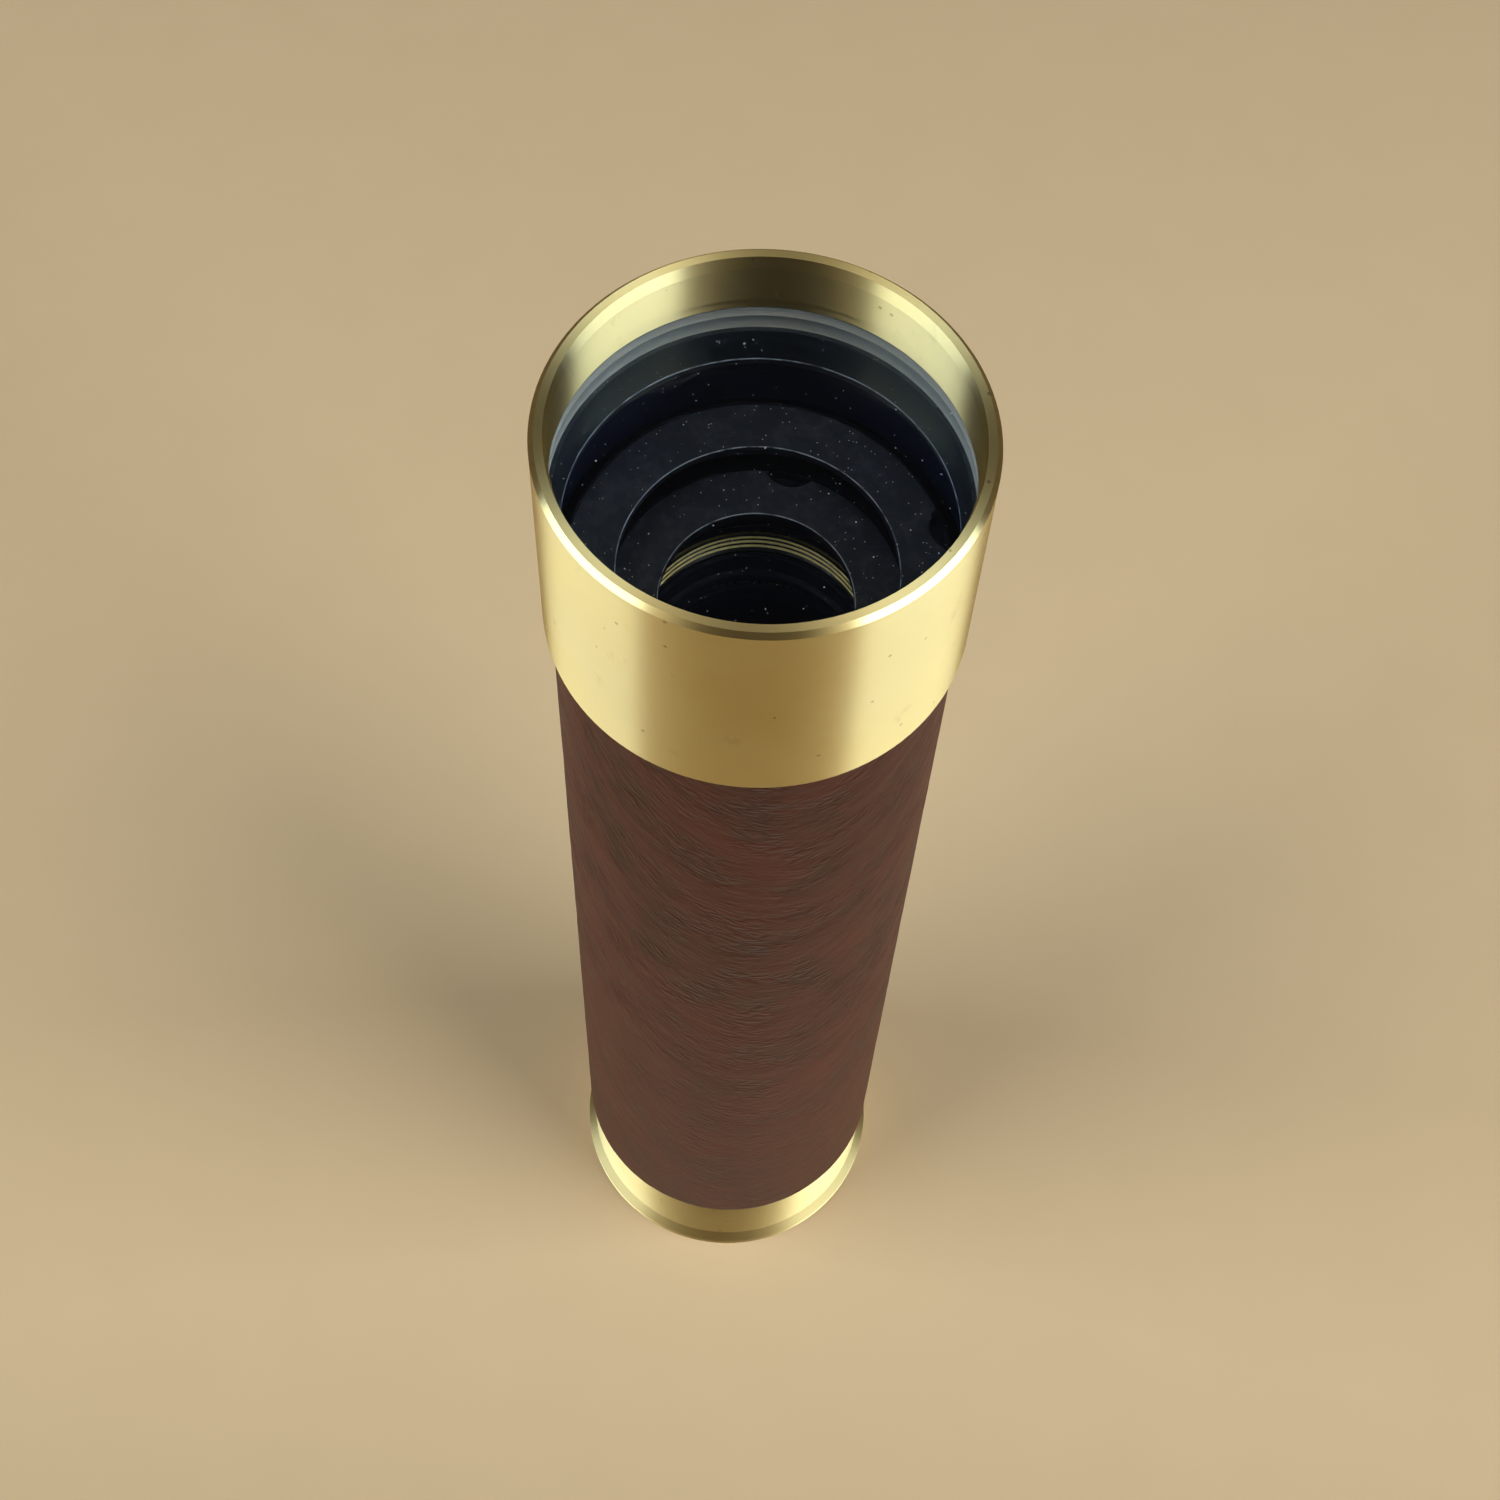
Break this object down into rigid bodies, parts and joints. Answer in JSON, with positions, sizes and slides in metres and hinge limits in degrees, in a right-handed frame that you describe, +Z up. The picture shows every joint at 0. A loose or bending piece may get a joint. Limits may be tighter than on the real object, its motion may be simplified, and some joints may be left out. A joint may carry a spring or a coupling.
{
  "type": "draw telescope",
  "caption": "Hand telescope with a leather-covered barrel, a brass objective cap, and nested draw tubes that slide out to focus.",
  "frame": {"origin": "centre of the eyepiece flange's lower face, where the closed telescope stands", "axes": "+Z up the common axis of the tubes, from the eyepiece to the objective; +Y away from the viewer; +X to the viewer's right"},
  "size_m": [0.055, 0.055, 0.23],
  "materials": {
    "brass": "turned and lacquered, satin",
    "black_metal": "blackened, satin",
    "leather": "creased, semi-matt",
    "glass": "polished and coated, ground edge",
    "felt": "napped"
  },
  "bodies": {
    "barrel": {"objective_cap": "brass", "crown_lens": "glass", "flint_lens": "glass", "objective_retaining_ring": "black_metal", "barrel_tube": "black_metal", "leather_wrap": "leather", "barrel_end_ring": "brass", "barrel_guide_bush": "brass"},
    "sleeve1": {"felt_sleeve_1": "felt"},
    "draw1": {"draw1_tube": "brass", "draw1_head_ring": "black_metal", "draw1_baffle": "black_metal", "draw1_end_ring": "brass", "draw1_guide_bush": "brass"},
    "sleeve2": {"felt_sleeve_2": "felt"},
    "draw2": {"draw2_tube": "brass", "draw2_head_ring": "black_metal", "draw2_baffle": "black_metal", "draw2_end_ring": "brass", "draw2_guide_bush": "brass"},
    "sleeve3": {"felt_sleeve_3": "felt"},
    "draw3": {"draw3_tube": "brass", "draw3_head_ring": "black_metal", "erector_tube": "brass", "erector_front_lens": "glass", "erector_front_ring": "black_metal", "erector_stop": "black_metal", "erector_rear_lens": "glass", "erector_rear_ring": "black_metal", "eyepiece_sleeve": "brass", "field_lens": "glass", "field_lens_ring": "black_metal", "field_stop": "black_metal", "eye_lens": "glass", "eye_lens_cell": "black_metal", "eyepiece_flange": "brass"}
  },
  "joints": [
    {"name": "draw3_slide", "type": "slide", "parent": "draw3", "child": "sleeve3", "axis": [0, 0, 1], "range_m": [0, 0.1455]},
    {"name": "draw3_turn", "type": "hinge", "parent": "sleeve3", "child": "draw2", "pos_m": [0, 0, 0.02], "axis": [0, 0, 1], "continuous": true},
    {"name": "draw2_slide", "type": "slide", "parent": "draw2", "child": "sleeve2", "axis": [0, 0, 1], "range_m": [0, 0.1535]},
    {"name": "draw2_turn", "type": "hinge", "parent": "sleeve2", "child": "draw1", "pos_m": [0, 0, 0.02], "axis": [0, 0, 1], "continuous": true},
    {"name": "draw1_slide", "type": "slide", "parent": "draw1", "child": "sleeve1", "axis": [0, 0, 1], "range_m": [0, 0.156]},
    {"name": "draw1_turn", "type": "hinge", "parent": "sleeve1", "child": "barrel", "pos_m": [0, 0, 0.02], "axis": [0, 0, 1], "continuous": true}
  ]
}
